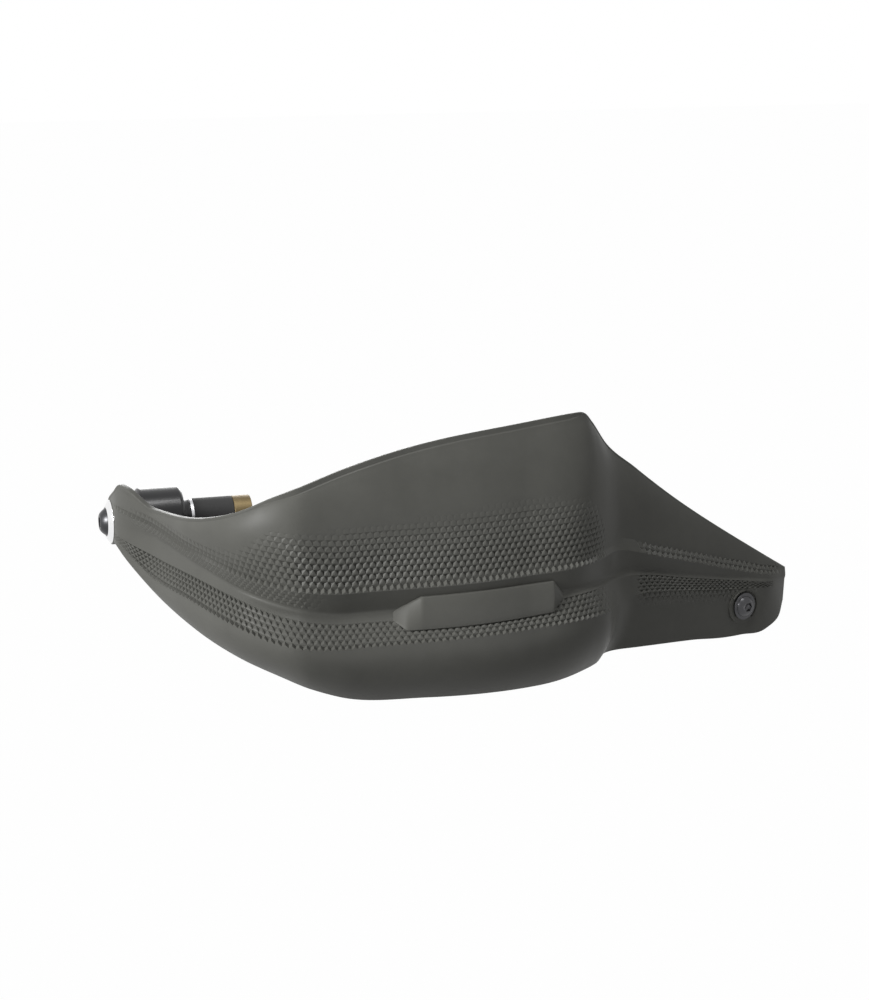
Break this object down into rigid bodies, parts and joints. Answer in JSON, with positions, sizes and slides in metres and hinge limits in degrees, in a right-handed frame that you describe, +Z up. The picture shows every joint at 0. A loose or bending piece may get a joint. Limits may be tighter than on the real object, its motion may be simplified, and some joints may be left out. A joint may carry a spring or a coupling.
{
  "type": "motorcycle hand guard",
  "caption": "Moulded hand guard shell for a handlebar's right end, with bar-end weight, expander, clamp and arm bracket.",
  "frame": {"origin": "on the handlebar's axis, at the end face of the bar tube, where the bar-end weight seats", "axes": "+X along the bar axis towards the middle of the bike, +Z up, -Y forward past the shell"},
  "size_m": [0.3396, 0.1637, 0.126],
  "materials": {
    "shell_plastic": "fine moulded grain, satin",
    "bright_aluminium": "polished",
    "black_steel": "black zinc plate",
    "black_alloy": "black anodised",
    "weight_black": "gloss black",
    "zinc_steel": "zinc plated",
    "rubber": "matte",
    "brass": "turned",
    "bracket_paint": "black powder coat",
    "liner_plastic": "moulded"
  },
  "bodies": {
    "root": {"guard_shell": "shell_plastic", "end_ring": "bright_aluminium", "end_bolt": "black_steel", "end_spacer": "black_alloy", "bar_end_weight": "weight_black", "expander_washer": "zinc_steel", "expander_bush": "rubber", "expander_nut": "brass", "arm_screw": "black_steel", "arm_sleeve": "zinc_steel", "arm_rubber": "rubber", "arm_washer": "zinc_steel", "arm_nut": "zinc_steel", "bracket": "bracket_paint", "foot_washer": "zinc_steel", "foot_bolt": "black_steel", "clamp_body": "black_alloy", "clamp_cap": "black_alloy", "clamp_liners": "liner_plastic", "clamp_washers": "zinc_steel", "clamp_bolts": "black_steel"}
  },
  "joints": []
}
